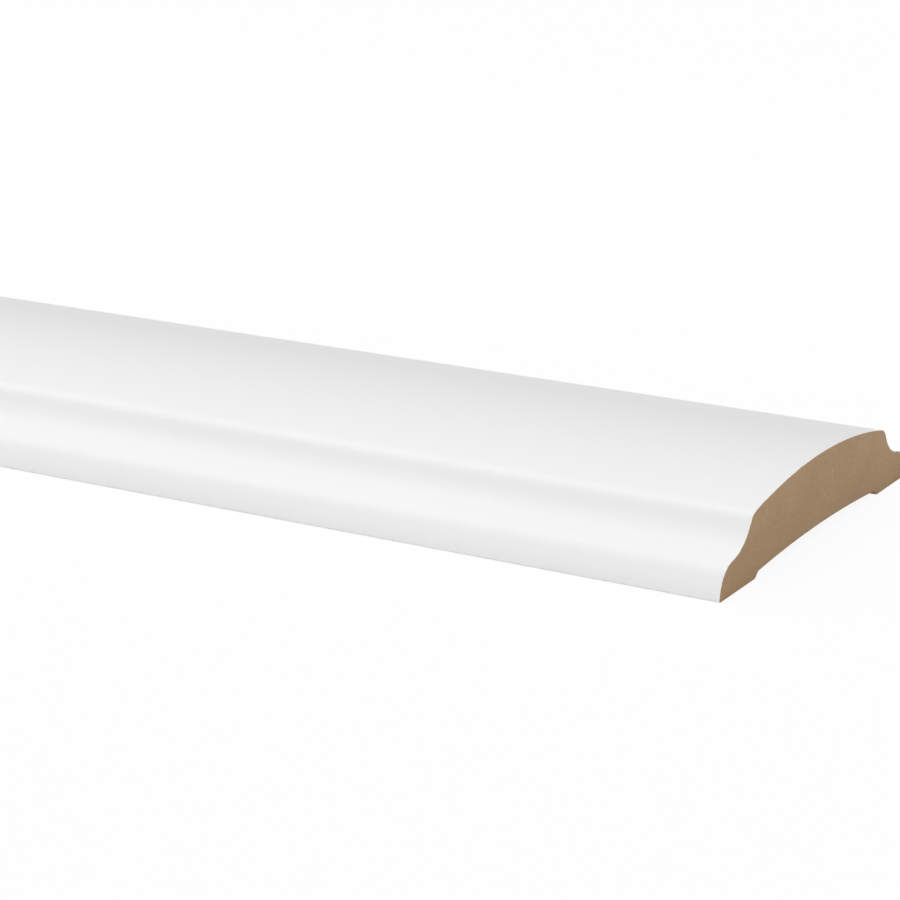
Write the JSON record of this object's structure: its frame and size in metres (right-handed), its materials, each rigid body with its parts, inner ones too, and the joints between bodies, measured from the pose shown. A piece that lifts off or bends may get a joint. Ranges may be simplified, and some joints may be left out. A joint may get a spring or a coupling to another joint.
{
  "type": "door architrave",
  "caption": "Straight moulding that hides the joint between a door frame and the wall: bowed white face, rounded lip along each edge, relieved back and square-sawn MDF ends.",
  "frame": {"origin": "middle of the back plane, halfway along the length and across the width; the feet lie at z = 0", "axes": "+X along the length, towards the sawn end that the picture shows; +Y across the face; +Z out of the face, away from the wall"},
  "size_m": [2.2, 0.07, 0.012],
  "materials": {
    "painted_mdf": "satin"
  },
  "bodies": {
    "root": {"architrave": "painted_mdf"}
  },
  "joints": []
}
